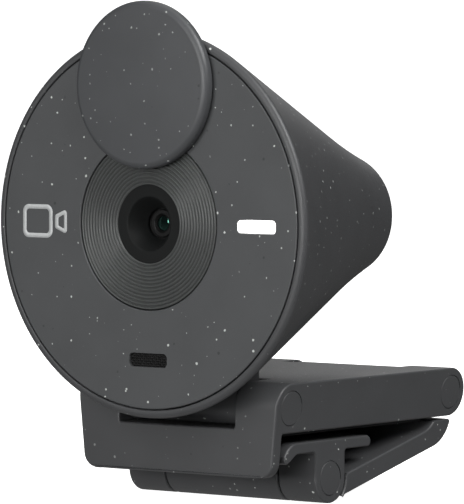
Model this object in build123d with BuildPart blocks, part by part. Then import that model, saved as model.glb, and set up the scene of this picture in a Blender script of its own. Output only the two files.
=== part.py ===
from build123d import *
from math import cos, radians, sin, sqrt
import os

os.makedirs("parts", exist_ok=True)

# A small webcam: a cone-shaped head with a swinging privacy shutter, tilting on a folding clip.
# Millimetres. +Z is up, the lens looks along -Y and +X is to the right as seen from the front.
# The origin is the centre of the underside of the clip's rubber pad, which sits on a screen's top edge.

# Clip: arm and lip
clip_half_width = 17.5  # at the arm's top face
side_draft = 0.1  # how much each side leans in for every millimetre downwards
arm_thickness = 6.9
pin_spacing = 38.05  # from the tilt pin to the leg pin
lip_thickness = 1.85
lip_drop = 5.5  # lip's lower edge below the pad's face
lip_corner = 2.1
edge_round = 0.35
pad_thickness = 0.5
pad_lip_gap = 1.4
pad_rear_gap = 7.7
pad_side_gap = 1.6
lip_pad_thickness = 0.4
lip_pad_gap_above = 0.2
lip_pad_gap_below = 0.3  # between the pad and the lip's rounded corners
pad_corner = 0.8
knuckle_half_gap = 10.0  # half of the slot between the ears, front and rear
slot_floor = 0.6  # left under the front slot
arm_wall = 1.7
base_thickness = 1.2
base_rebate = 0.8  # ledge all round that the base plate sits on
base_boss_radius = 1.6
base_boss_inset = 1.2  # less than the radius, so that each boss merges with the walls

# Pins, bushes and their caps
pin_radius = 1.25
bush_wall = 0.45
running_gap = 0.04  # radial, between a pin and its bush
cap_radius = 2.36
cap_thickness = 0.9
cap_gap = 0.08
side_gap = 0.2  # each side, between a knuckle and its ears
fit_gap = 0.05  # between fixed pieces that slide together

# Leg and foot
leg_half_width = 16.4
leg_thickness = 2.75
leg_slope = 13.5  # degrees, when folded under the arm
leg_tip_gap = 0.45  # between the arm's round end and the leg's curled end
leg_curl_radius = 2.6
foot_pin_back = 28.0  # from the leg pin forward to the foot pin
foot_pin_drop = 6.83  # from the arm's underside down to the foot pin
foot_round = 3.45
leg_knuckle_round = 3.2
leg_slot_gap = 0.55  # between the knuckle and the rear slot's wall
turn_gap = 0.3  # between round faces that turn past each other
leg_outer_offset = 3.25  # from the foot pin down to the leg's outer face
leg_outer_straight = 25.0
leg_inner_straight = 23.0
leg_tip_front = 2.95  # ahead of the leg pin
leg_tip_rear = 1.1  # behind the leg pin
leg_web_front = 2.6
leg_web_overlap = 0.5
leg_web_rear_gap = 0.4
tip_chamfer = 0.3
flange_gap = 0.98  # between the arm's pad and the folded foot
flange_thickness = 1.55
flange_front = 7.65  # from the foot pin forward to where the hook starts
flange_rear = 9.65
hook_reach = 2.95
hook_shoulder = 1.9
hook_drop = 2.8
hook_lean = 0.35
hook_tip_width = 1.1
hook_root = 0.1
flange_chamfer_length = 0.4
flange_chamfer_height = 0.6
flange_rear_lean = 1.3
foot_slot_length = 7.6
foot_pad_depth = 0.5
foot_pad_margin = 1.5
foot_pad_end_gap = 0.9
foot_pad_corner = 0.6

# Head: cone, face and wall
face_radius = 26.84
rim_round = 0.7
waist_radius = 13.36
waist_depth = 32.5
rear_radius = 8.35
rear_round = 1.5
head_depth = 46.2
head_wall = 1.8
pin_setback = 9.7  # from the face back to the tilt pin
head_drop = 1.35  # from the arm's top down to the cone's underside, over the tilt pin
rim_width = 1.44  # of the edge round the face plate
plate_gap = 0.2  # visible line between the rim and the face plate
plate_thickness = 1.75
adhesive_thickness = 0.25
adhesive_width = 0.9

# Lens ring and bezel
ring_radius = 11.6
ring_gap = 0.2
ring_flange_radius = 13.0
ring_back = 3.0
ring_front = 0.1
ridge_count = 12
ridge_pitch = 0.5
ridge_height = 0.25
bezel_radius = 5.4
bezel_front = 0.25
bezel_mouth_radius = 3.7
bezel_throat_radius = 2.1
bezel_throat_depth = 2.8
bezel_length = 4.8

# Lens, sensor and boards
barrel_radius = 3.2
barrel_front = 3.1
barrel_length = 6.5
barrel_bore_radius = 2.4
barrel_lip = 0.35
pupil_radius = 0.95
holder_size = 13.0
holder_corner = 1.0
holder_front = 5.2
holder_length = 6.8
filter_size = 6.2
filter_thickness = 0.4
filter_pocket = 6.4
filter_gap = 0.1
sensor_pocket = 9.0
sensor_width = 7.0
sensor_height = 6.0
sensor_thickness = 0.9
sensor_board_size = 18.0
sensor_board_corner = 1.5
sensor_board_thickness = 0.8
holder_screw_offset = 5.6
spacer_length = 2.7
spacer_radius = 1.4
spacer_offset = 7.4
main_board_thickness = 1.2
board_wall_gap = 0.4
post_radius = 1.9
post_circle = 12.5
post_count = 3
connector_width = 8.0
connector_height = 2.4

# Front board with the status light and the microphone
front_board_depth = 4.0
front_board_thickness = 1.0
front_board_inner = 14.0
front_board_outer = 21.6
boss_radius = 1.6
boss_circle = 17.6
slot_width = 6.3
slot_height = 1.7
slot_corner = 0.5
slot_gap = 0.08
light_offset = 18.43
microphone_offset = 18.55
guide_flange = 0.7
guide_flange_thickness = 0.5
led_size = (3.2, 1.6, 0.8)
microphone_size = (3.5, 2.65, 1.0)
mesh_depth = 0.35
mesh_thickness = 0.3
gasket_size = (5.6, 3.4)
gasket_bore = 0.5

# Shutter
shutter_radius = 11.41
shutter_center = 18.89  # above the lens axis when open
shutter_gap = 0.35  # between the face and the disc
shutter_thickness = 1.65
shutter_round = 0.9
shutter_back_round = 0.15
pivot_radius = 1.2
pivot_grip = 0.9  # how far the pivot is pressed into the disc
washer_radius = 2.5
washer_thickness = 0.35
clip_thickness = 0.35
clip_groove_radius = 0.8
clip_mouth = 1.3
pivot_tail = 0.8  # past its clip
glide_radius = 1.85  # less than the disc reaches past the pivot, so that it stays hidden
glide_thickness = 0.3

# Neck, gland and screws
neck_radius = 2.55
stem_half_width = 5.6
stem_half_depth = 2.0
neck_flange_half_width = 9.5
neck_flange_margin = 1.5
neck_flange_thickness = 1.3
neck_screw_offset = 7.6
neck_slot_gap = 2.25  # behind the barrel, so that the neck can lean back
land_reach = 3.5
land_rise = 0.1
land_board_gap = 0.6
gland_radius = 3.0
gland_flange = 0.8
gland_flange_thickness = 0.6
gland_tail = 2.0
gland_bore = 1.75
screw_radius = 0.7
screw_head_radius = 1.3
screw_head_height = 0.8
screw_cross_width = 0.3
screw_cross_depth = 0.6
pilot_bottom = 0.5  # hole left past a screw's end

# Clip positions
arm_length = pin_spacing + arm_thickness
pad_length = arm_length - lip_thickness - pad_lip_gap - pad_rear_gap
arm_bottom = pad_thickness
arm_top = arm_bottom + arm_thickness
arm_round = arm_thickness / 2
arm_front = -pad_length / 2 - pad_lip_gap - lip_thickness
arm_rear = arm_front + arm_length
pin_z = arm_bottom + arm_round
tilt_y = arm_front + arm_round
leg_y = tilt_y + pin_spacing
foot_y = leg_y - foot_pin_back
foot_z = arm_bottom - foot_pin_drop
slot_rear_y = tilt_y + neck_radius + neck_slot_gap
rear_slot_y = leg_y - leg_knuckle_round - leg_slot_gap
clip_full_width = 2 * clip_half_width
bush_radius = pin_radius + running_gap + bush_wall
leg_angle = radians(leg_slope)
foot_pad_length = flange_front + flange_rear - 2 * foot_pad_end_gap
knuckle_half_width = knuckle_half_gap - side_gap


def clip_half_width_at(z):
    return clip_half_width - side_draft * (arm_top - z)


pin_half_length = clip_half_width_at(pin_z) - cap_thickness

# Head positions: depth is measured back from the face, along +Y
cone_slope = (face_radius - waist_radius) / waist_depth
wall_across = head_wall * sqrt(1 + cone_slope**2)


def cone_radius(depth):
    return face_radius - cone_slope * depth


def cavity_radius(depth):
    return cone_radius(depth) - wall_across


lens_z = arm_top - head_drop + cone_radius(pin_setback)
face_y = tilt_y - pin_setback
ledge_depth = plate_thickness + adhesive_thickness
rim_inner_radius = face_radius - rim_width
plate_radius = rim_inner_radius - plate_gap
holder_back = holder_front + holder_length
filter_front = barrel_front + barrel_length + filter_gap
sensor_board_back = holder_back + sensor_board_thickness
main_board_front = sensor_board_back + spacer_length
main_board_back = main_board_front + main_board_thickness
main_board_radius = cavity_radius(main_board_back) - board_wall_gap
pivot_z = lens_z + shutter_center / 2
pivot_end = ring_back + washer_thickness + clip_thickness + pivot_tail
flange_back_depth = pin_setback + stem_half_depth + neck_flange_margin
flange_half_chord = sqrt(cavity_radius(flange_back_depth) ** 2 - neck_flange_half_width**2)
land_z = lens_z - flange_half_chord + land_rise
neck_top = land_z + neck_flange_thickness
land_front_depth = front_board_depth + front_board_thickness + land_board_gap

lathe = Plane(origin=(0, face_y, lens_z))  # local X is the radius, local Y the depth
lens_axis = Axis((0, face_y, lens_z), (0, 1, 0))
face = Plane(origin=(0, face_y, lens_z), x_dir=(1, 0, 0), z_dir=(0, -1, 0))


def behind(depth):
    return face.offset(-depth)


def save(piece, name):
    piece.part.label = name
    export_step(piece.part, f"parts/{name}.step")


# Screws: the origin is under the head, with the shank along -Z


def make_screw(length):
    with BuildPart() as screw:
        Cylinder(screw_head_radius, screw_head_height, align=(Align.CENTER, Align.CENTER, Align.MIN))
        fillet(screw.edges().group_by(Axis.Z)[-1], screw_head_height / 3)
        Cylinder(screw_radius, length, align=(Align.CENTER, Align.CENTER, Align.MAX))
        with Locations((0, 0, screw_head_height)):
            Box(screw_head_radius, screw_cross_width, screw_cross_depth, mode=Mode.SUBTRACT)
            Box(screw_cross_width, screw_head_radius, screw_cross_depth, mode=Mode.SUBTRACT)
    return screw.part


board_screw_length = 4.0
neck_screw_length = 3.5
base_screw_length = 3.0
front_screw_length = 2.6
holder_screw_length = sensor_board_thickness + 2.0

# Head shape: the closed outer form of the cone, used to shape the housing and the neck
with BuildPart() as head_shape:
    with BuildSketch(lathe) as head_profile:
        with BuildLine():
            cone_line = Line((face_radius, 0), (waist_radius, waist_depth))
            rear_arc = TangentArc(cone_line @ 1, (rear_radius, head_depth), tangent=cone_line % 1)
            Polyline(rear_arc @ 1, (0, head_depth), (0, 0), (face_radius, 0))
        make_face()
        fillet(head_profile.vertices().sort_by_distance((face_radius, 0))[0], rim_round)
        fillet(head_profile.vertices().sort_by_distance((rear_radius, head_depth))[0], rear_round)
    revolve(axis=lens_axis)

# Room inside the head, with the posts for the main board and the land for the neck left standing
with BuildPart() as head_cavity:
    with BuildSketch(lathe):
        with BuildLine():
            Polyline(
                (0, -1),
                (rim_inner_radius, -1),
                (rim_inner_radius, ledge_depth),
                (cavity_radius(ledge_depth), ledge_depth),
                (cavity_radius(waist_depth), waist_depth),
                (rear_radius - head_wall, head_depth - head_wall),
                (0, head_depth - head_wall),
                close=True,
            )
        make_face()
    revolve(axis=lens_axis)
    with BuildSketch(behind(main_board_back)):
        with PolarLocations(post_circle, post_count, start_angle=90):
            Circle(post_radius)
            Circle(screw_radius, mode=Mode.SUBTRACT)
    extrude(amount=-head_depth, mode=Mode.SUBTRACT)
    with BuildSketch(Plane.XY.offset(land_z)):
        with Locations((0, face_y + (land_front_depth + flange_back_depth) / 2)):
            Rectangle(
                2 * (neck_flange_half_width + land_reach),
                flange_back_depth - land_front_depth + land_board_gap,
            )
    extrude(amount=-land_z - lens_z, mode=Mode.SUBTRACT)

# Rear housing: the cone's shell
with BuildPart() as rear_housing:
    add(head_shape.part)
    add(head_cavity.part, mode=Mode.SUBTRACT)
    with BuildSketch(behind(head_depth)):
        Circle(gland_radius)
    extrude(amount=2 * head_wall, both=True, mode=Mode.SUBTRACT)
    with BuildSketch(Plane.XY.offset(land_z)):
        with Locations((0, tilt_y)):
            Rectangle(2 * (stem_half_width + fit_gap), 2 * (stem_half_depth + fit_gap))
    extrude(amount=-land_z, mode=Mode.SUBTRACT)
    with BuildSketch(Plane.XY.offset(land_z)):
        with Locations((-neck_screw_offset, tilt_y), (neck_screw_offset, tilt_y)):
            Circle(screw_radius)
    extrude(amount=-(neck_screw_length - neck_flange_thickness), mode=Mode.SUBTRACT)
save(rear_housing, "rear_housing")

# Face plate, with openings for the lens ring, the light and the microphone
slot_opening = (slot_width + 2 * slot_gap, slot_height + 2 * slot_gap, slot_corner + slot_gap)
with BuildPart() as face_plate:
    with BuildSketch(face):
        Circle(plate_radius)
        Circle(ring_radius + ring_gap, mode=Mode.SUBTRACT)
        with Locations((light_offset, 0), (0, -microphone_offset)):
            RectangleRounded(*slot_opening, mode=Mode.SUBTRACT)
    extrude(amount=-plate_thickness)
    with BuildSketch(behind(plate_thickness)):
        with PolarLocations(boss_circle, 4, start_angle=45):
            Circle(boss_radius)
            Circle(screw_radius, mode=Mode.SUBTRACT)
    extrude(amount=plate_thickness - front_board_depth)
save(face_plate, "face_plate")

# Double-sided adhesive ring that holds the face plate on the housing's ledge
with BuildPart() as face_adhesive:
    with BuildSketch(behind(plate_thickness)):
        Circle(plate_radius)
        Circle(plate_radius - adhesive_width, mode=Mode.SUBTRACT)
    extrude(amount=-adhesive_thickness)
save(face_adhesive, "face_adhesive")

# Ridged lens ring
ridge_outer = ring_radius - 0.1
with BuildPart() as lens_ring:
    with BuildSketch(lathe):
        with BuildLine():
            ridges = [(ring_radius, ring_front)]
            for i in range(ridge_count):
                ridges.append((ridge_outer - i * ridge_pitch, ring_front))
                ridges.append((ridge_outer - (i + 0.5) * ridge_pitch, ring_front + ridge_height))
            Polyline(
                *ridges,
                (bezel_radius, ring_front + ridge_height),
                (bezel_radius, ring_back),
                (ring_flange_radius, ring_back),
                (ring_flange_radius, plate_thickness),
                (ring_radius, plate_thickness),
                close=True,
            )
        make_face()
    revolve(axis=lens_axis)
    with BuildSketch(face):
        with Locations((0, pivot_z - lens_z)):
            Circle(pivot_radius + running_gap)
    extrude(amount=-head_depth, mode=Mode.SUBTRACT)
save(lens_ring, "lens_ring")

# Smooth dark bezel with the funnel in front of the lens
with BuildPart() as lens_bezel:
    with BuildSketch(lathe):
        with BuildLine():
            Polyline(
                (bezel_radius, bezel_front),
                (bezel_mouth_radius, bezel_front),
                (bezel_throat_radius, bezel_throat_depth),
                (bezel_throat_radius, barrel_front),
                (barrel_radius, barrel_front),
                (barrel_radius, bezel_front + bezel_length),
                (bezel_radius, bezel_front + bezel_length),
                close=True,
            )
        make_face()
    revolve(axis=lens_axis)
save(lens_bezel, "lens_bezel")

# Lens barrel: a sleeve with a small round pupil in its front
with BuildPart() as lens_barrel:
    with BuildSketch(lathe):
        with BuildLine():
            Polyline(
                (pupil_radius + barrel_lip, barrel_front),
                (barrel_radius, barrel_front),
                (barrel_radius, barrel_front + barrel_length),
                (barrel_bore_radius, barrel_front + barrel_length),
                (barrel_bore_radius, barrel_front + barrel_lip),
                (pupil_radius, barrel_front + barrel_lip),
                close=True,
            )
        make_face()
    revolve(axis=lens_axis)
save(lens_barrel, "lens_barrel")


def make_lens(front, thickness, front_sag, back_sag):
    # both faces are arcs: a positive sag bulges outwards
    back = front + thickness
    edge = barrel_bore_radius
    front_radius = (edge**2 + front_sag**2) / (2 * front_sag)
    back_radius = (edge**2 + back_sag**2) / (2 * back_sag)
    with BuildPart() as glass:
        with BuildSketch(lathe):
            with BuildLine():
                front_arc = RadiusArc((0, front), (edge, front + front_sag), -front_radius)
                Line(front_arc @ 1, (edge, back - back_sag))
                back_arc = RadiusArc((edge, back - back_sag), (0, back), -back_radius)
                Line(back_arc @ 1, (0, front))
            make_face()
        revolve(axis=lens_axis)
    return glass


front_glass = barrel_front + barrel_lip
middle_glass = front_glass + 2.0
rear_glass = front_glass + 3.9
lens_front_element = make_lens(front_glass, thickness=1.6, front_sag=0.45, back_sag=0.2)
save(lens_front_element, "lens_front_element")
lens_middle_element = make_lens(middle_glass, thickness=1.5, front_sag=0.3, back_sag=0.3)
save(lens_middle_element, "lens_middle_element")
lens_rear_element = make_lens(rear_glass, thickness=1.8, front_sag=0.2, back_sag=0.5)
save(lens_rear_element, "lens_rear_element")

# Lens holder: a block that the barrel screws into, over the sensor
holder_corners = [(-holder_screw_offset, holder_screw_offset), (holder_screw_offset, -holder_screw_offset)]
with BuildPart() as lens_holder:
    with BuildSketch(behind(holder_front)):
        RectangleRounded(holder_size, holder_size, holder_corner)
        Circle(barrel_radius, mode=Mode.SUBTRACT)
    extrude(amount=-holder_length)
    with BuildSketch(behind(filter_front)):
        Rectangle(filter_pocket, filter_pocket)
    extrude(amount=filter_front - holder_back, mode=Mode.SUBTRACT)
    with BuildSketch(behind(filter_front + filter_thickness)):
        Rectangle(sensor_pocket, sensor_pocket)
    extrude(amount=filter_front + filter_thickness - holder_back, mode=Mode.SUBTRACT)
    with BuildSketch(behind(holder_back)):
        with Locations(*holder_corners):
            Circle(screw_radius)
    extrude(amount=holder_screw_length - sensor_board_thickness + pilot_bottom, mode=Mode.SUBTRACT)
save(lens_holder, "lens_holder")

# Infrared filter glass
with BuildPart() as ir_filter:
    with BuildSketch(behind(filter_front)):
        Rectangle(filter_size, filter_size)
    extrude(amount=-filter_thickness)
save(ir_filter, "ir_filter")

# Image sensor
with BuildPart() as image_sensor:
    with BuildSketch(behind(holder_back - sensor_thickness)):
        Rectangle(sensor_width, sensor_height)
    extrude(amount=-sensor_thickness)
save(image_sensor, "image_sensor")

# Small board under the sensor
with BuildPart() as sensor_board:
    with BuildSketch(behind(holder_back)):
        RectangleRounded(sensor_board_size, sensor_board_size, sensor_board_corner)
        with Locations(*holder_corners):
            Circle(screw_radius, mode=Mode.SUBTRACT)
    extrude(amount=-sensor_board_thickness)
save(sensor_board, "sensor_board")

# Screws through the sensor board into the holder
holder_screw = make_screw(holder_screw_length)
with BuildPart() as holder_screws:
    for corner_x, corner_z in holder_corners:
        place = Plane(origin=(corner_x, face_y + sensor_board_back, lens_z + corner_z), z_dir=(0, 1, 0))
        with Locations(place):
            add(holder_screw)
save(holder_screws, "holder_screws")

# Spacers between the sensor board and the main board
with BuildPart() as board_spacers:
    with BuildSketch(behind(sensor_board_back)):
        with Locations((-spacer_offset, -spacer_offset), (spacer_offset, spacer_offset)):
            Circle(spacer_radius)
    extrude(amount=-spacer_length)
save(board_spacers, "board_spacers")

# Connector between the two boards
with BuildPart() as board_connector:
    with BuildSketch(behind(sensor_board_back)):
        Rectangle(connector_width, connector_height)
    extrude(amount=-spacer_length)
save(board_connector, "board_connector")

# Main board, round to suit the cone
with BuildPart() as main_board:
    with BuildSketch(behind(main_board_front)):
        Circle(main_board_radius)
        with PolarLocations(post_circle, post_count, start_angle=90):
            Circle(screw_radius, mode=Mode.SUBTRACT)
    extrude(amount=-main_board_thickness)
save(main_board, "main_board")

# Screws that hold the main board on the housing's posts
board_screw = make_screw(board_screw_length)
with BuildPart(behind(main_board_front)) as board_screws:
    with PolarLocations(post_circle, post_count, start_angle=90):
        add(board_screw)
save(board_screws, "board_screws")

# Chips on the back of the main board; the first is under the shield can
can_z = 4.5
chip_places = [
    (0, can_z, 8.0, 8.0, 1.0),
    (-9.5, -0.6, 4.0, 5.0, 0.9),
    (9.5, -1.5, 3.0, 3.0, 0.8),
    (6.0, -4.6, 3.2, 1.6, 0.9),
]
with BuildPart() as board_chips:
    for chip_x, chip_z, chip_width, chip_height, chip_thickness in chip_places:
        with BuildSketch(behind(main_board_back)):
            with Locations((chip_x, chip_z)):
                Rectangle(chip_width, chip_height)
        extrude(amount=-chip_thickness)
save(board_chips, "board_chips")

# Shield can over the processor
can_size = 11.0
can_height = 2.0
can_wall = 0.3
can_corner = 0.6
with BuildPart() as shield_can:
    with BuildSketch(behind(main_board_back)):
        with Locations((0, can_z)):
            RectangleRounded(can_size, can_size, can_corner)
    extrude(amount=-can_height)
    with BuildSketch(behind(main_board_back)):
        with Locations((0, can_z)):
            Rectangle(can_size - 2 * can_wall, can_size - 2 * can_wall)
    extrude(amount=can_wall - can_height, mode=Mode.SUBTRACT)
save(shield_can, "shield_can")

# Header that the cable's wires plug into
header_width = 8.0
header_height = 4.0
header_length = 4.5
header_wall = 0.7
header_floor = 1.0
header_z = -9.0
with BuildPart() as cable_header:
    with BuildSketch(behind(main_board_back)):
        with Locations((0, header_z)):
            Rectangle(header_width, header_height)
    extrude(amount=-header_length)
    with BuildSketch(behind(main_board_back + header_length)):
        with Locations((0, header_z)):
            Rectangle(header_width - 2 * header_wall, header_height - 2 * header_wall)
    extrude(amount=header_length - header_floor, mode=Mode.SUBTRACT)
save(cable_header, "cable_header")

# Rubber gland in the rear wall, open for the cable
with BuildPart() as cable_gland:
    with BuildSketch(lathe):
        with BuildLine():
            Polyline(
                (gland_bore, head_depth - head_wall - gland_tail),
                (gland_radius + gland_flange, head_depth - head_wall - gland_tail),
                (gland_radius + gland_flange, head_depth - head_wall),
                (gland_radius, head_depth - head_wall),
                (gland_radius, head_depth),
                (gland_radius + gland_flange, head_depth),
                (gland_radius + gland_flange / 2, head_depth + gland_flange_thickness),
                (gland_bore, head_depth + gland_flange_thickness),
                close=True,
            )
        make_face()
    revolve(axis=lens_axis)
save(cable_gland, "cable_gland")

# Front board: a ring that carries the light and the microphone
with BuildPart() as front_board:
    with BuildSketch(behind(front_board_depth)):
        Circle(front_board_outer)
        Circle(front_board_inner, mode=Mode.SUBTRACT)
        with PolarLocations(boss_circle, 4, start_angle=45):
            Circle(screw_radius, mode=Mode.SUBTRACT)
    extrude(amount=-front_board_thickness)
save(front_board, "front_board")

# Screws through the front board into the face plate's bosses
front_board_back = front_board_depth + front_board_thickness
front_screw = make_screw(front_screw_length)
with BuildPart() as front_board_screws:
    for spot in PolarLocations(boss_circle, 4, start_angle=45).local_locations:
        origin = (spot.position.X, face_y + front_board_back, lens_z + spot.position.Y)
        with Locations(Plane(origin=origin, z_dir=(0, 1, 0))):
            add(front_screw)
save(front_board_screws, "front_board_screws")

# Light guide, flush with the face, with a flange behind the plate
led_front = front_board_depth - led_size[2]
with BuildPart() as led_light_guide:
    with BuildSketch(face):
        with Locations((light_offset, 0)):
            RectangleRounded(slot_width, slot_height, slot_corner)
    extrude(amount=-led_front)
    with BuildSketch(behind(plate_thickness)):
        with Locations((light_offset, 0)):
            Rectangle(slot_width + 2 * guide_flange, slot_height + 2 * guide_flange)
    extrude(amount=-guide_flange_thickness)
save(led_light_guide, "led_light_guide")

# Status light
with BuildPart() as status_led:
    with BuildSketch(behind(led_front)):
        with Locations((light_offset, 0)):
            Rectangle(led_size[0], led_size[1])
    extrude(amount=-led_size[2])
save(status_led, "status_led")

# Woven mesh in the microphone slot
with BuildPart() as mic_mesh:
    with BuildSketch(behind(mesh_depth)):
        with Locations((0, -microphone_offset)):
            RectangleRounded(*slot_opening)
    extrude(amount=-mesh_thickness)
save(mic_mesh, "mic_mesh")

# Rubber gasket that leads sound from the slot to the microphone
mic_front = front_board_depth - microphone_size[2]
with BuildPart() as mic_gasket:
    with BuildSketch(behind(plate_thickness)):
        with Locations((0, -microphone_offset)):
            Rectangle(gasket_size[0], gasket_size[1])
            Circle(gasket_bore, mode=Mode.SUBTRACT)
    extrude(amount=plate_thickness - mic_front)
save(mic_gasket, "mic_gasket")

# Microphone
with BuildPart() as microphone:
    with BuildSketch(behind(mic_front)):
        with Locations((0, -microphone_offset)):
            Rectangle(microphone_size[0], microphone_size[1])
    extrude(amount=-microphone_size[2])
save(microphone, "microphone")

# Neck: barrel on the tilt pin, riser shaped to the cone, stem and flange inside the head
with BuildPart() as tilt_neck:
    with BuildSketch(Plane.YZ):
        with Locations((tilt_y, pin_z)):
            Circle(neck_radius)
        with Locations((tilt_y, pin_z)):
            Rectangle(2 * neck_radius, land_z - pin_z, align=(Align.CENTER, Align.MIN))
    extrude(amount=knuckle_half_width, both=True)
    add(head_shape.part, mode=Mode.SUBTRACT)
    with BuildSketch(Plane.XY.offset(land_z)):
        with Locations((0, tilt_y)):
            Rectangle(2 * stem_half_width, 2 * stem_half_depth)
    extrude(amount=pin_z - land_z)
    with BuildSketch(Plane.XY.offset(land_z)):
        with Locations((0, tilt_y)):
            Rectangle(2 * neck_flange_half_width, 2 * (stem_half_depth + neck_flange_margin))
        with Locations((-neck_screw_offset, tilt_y), (neck_screw_offset, tilt_y)):
            Circle(screw_radius, mode=Mode.SUBTRACT)
    extrude(amount=neck_flange_thickness)
    with BuildSketch(Plane.YZ):
        with Locations((tilt_y, pin_z)):
            Circle(bush_radius)
    extrude(amount=knuckle_half_gap, both=True, mode=Mode.SUBTRACT)
save(tilt_neck, "tilt_neck")

# Screws that hold the neck's flange on the housing's land
neck_screw = make_screw(neck_screw_length)
with BuildPart(Plane.XY.offset(neck_top)) as neck_screws:
    with Locations((-neck_screw_offset, tilt_y), (neck_screw_offset, tilt_y)):
        add(neck_screw)
save(neck_screws, "neck_screws")

# Shutter disc, with a blind hole for the pivot
shutter_face = Plane(
    origin=(0, face_y - shutter_gap, lens_z + shutter_center), x_dir=(1, 0, 0), z_dir=(0, -1, 0)
)
with BuildPart() as shutter_disc:
    with BuildSketch(shutter_face):
        Circle(shutter_radius)
    extrude(amount=shutter_thickness)
    fillet(shutter_disc.edges().group_by(Axis.Y)[0], shutter_round)
    fillet(shutter_disc.edges().group_by(Axis.Y)[-1], shutter_back_round)
    with BuildSketch(shutter_face):
        with Locations((0, pivot_z - lens_z - shutter_center)):
            Circle(pivot_radius)
    extrude(amount=pivot_grip, mode=Mode.SUBTRACT)
save(shutter_disc, "shutter_disc")

# Shutter pivot, with a groove for its clip
pivot_axis = Axis((0, face_y, pivot_z), (0, 1, 0))
pivot_lathe = Plane(origin=(0, face_y, pivot_z))
clip_front = ring_back + fit_gap + washer_thickness
with BuildPart() as shutter_pivot:
    with BuildSketch(pivot_lathe):
        with BuildLine():
            Polyline(
                (0, -shutter_gap - pivot_grip),
                (pivot_radius, -shutter_gap - pivot_grip),
                (pivot_radius, clip_front),
                (clip_groove_radius, clip_front),
                (clip_groove_radius, clip_front + clip_thickness),
                (pivot_radius, clip_front + clip_thickness),
                (pivot_radius, pivot_end),
                (0, pivot_end),
                close=True,
            )
        make_face()
    revolve(axis=pivot_axis)
save(shutter_pivot, "shutter_pivot")

# Slippery ring between the disc and the face
with BuildPart() as shutter_glide_ring:
    with BuildSketch(shutter_face):
        with Locations((0, pivot_z - lens_z - shutter_center)):
            Circle(glide_radius)
            Circle(pivot_radius, mode=Mode.SUBTRACT)
    extrude(amount=-glide_thickness)
save(shutter_glide_ring, "shutter_glide_ring")

# Washer behind the lens ring
pivot_back = Plane(origin=(0, face_y + ring_back + fit_gap, pivot_z), x_dir=(1, 0, 0), z_dir=(0, -1, 0))
with BuildPart() as shutter_washer:
    with BuildSketch(pivot_back):
        Circle(washer_radius)
        Circle(pivot_radius, mode=Mode.SUBTRACT)
    extrude(amount=-washer_thickness)
save(shutter_washer, "shutter_washer")

# C-shaped clip in the pivot's groove
with BuildPart() as shutter_clip:
    with BuildSketch(pivot_back.offset(-washer_thickness)):
        Circle(washer_radius - 0.3)
        Circle(clip_groove_radius, mode=Mode.SUBTRACT)
        with Locations((0, washer_radius / 2)):
            Rectangle(clip_mouth, washer_radius, mode=Mode.SUBTRACT)
    extrude(amount=-clip_thickness)
save(shutter_clip, "shutter_clip")

# Closed outline that the clip's drafted sides follow
lip_bottom = -lip_drop
with BuildPart() as clip_envelope:
    with BuildSketch(Plane.XZ.offset(-arm_rear)):
        with BuildLine():
            Polyline(
                (-clip_half_width, arm_top),
                (clip_half_width, arm_top),
                (clip_half_width_at(lip_bottom), lip_bottom),
                (-clip_half_width_at(lip_bottom), lip_bottom),
                close=True,
            )
        make_face()
    extrude(amount=arm_length)

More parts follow.
